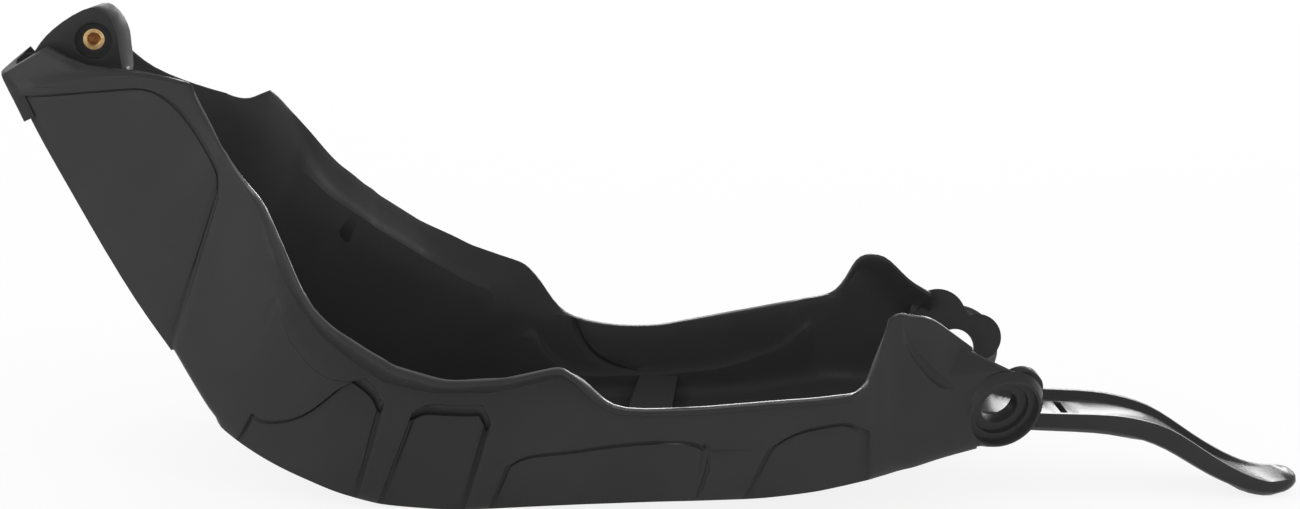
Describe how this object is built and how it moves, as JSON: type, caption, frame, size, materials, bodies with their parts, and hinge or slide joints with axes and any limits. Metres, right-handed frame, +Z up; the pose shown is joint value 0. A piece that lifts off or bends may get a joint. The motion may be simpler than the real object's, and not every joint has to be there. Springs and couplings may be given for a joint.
{
  "type": "motorcycle skid plate",
  "caption": "One-piece moulded plastic skid plate with a raised nose, flared side lips, sunk side panels, rear lugs and a curved linkage-guard tail.",
  "frame": {"origin": "middle of the bounding box, at the level of the surface the part stands on", "axes": "+X to the rear of the motorcycle, along the part's length; +Y to the motorcycle's right; +Z up"},
  "size_m": [0.6306, 0.2284, 0.2103],
  "materials": {
    "moulded_plastic": "fine satin grain, glossier inside the tail",
    "insert_brass": "turned, plain"
  },
  "bodies": {
    "root": {"skid_plate": "moulded_plastic", "front_insert": "insert_brass"}
  },
  "joints": []
}
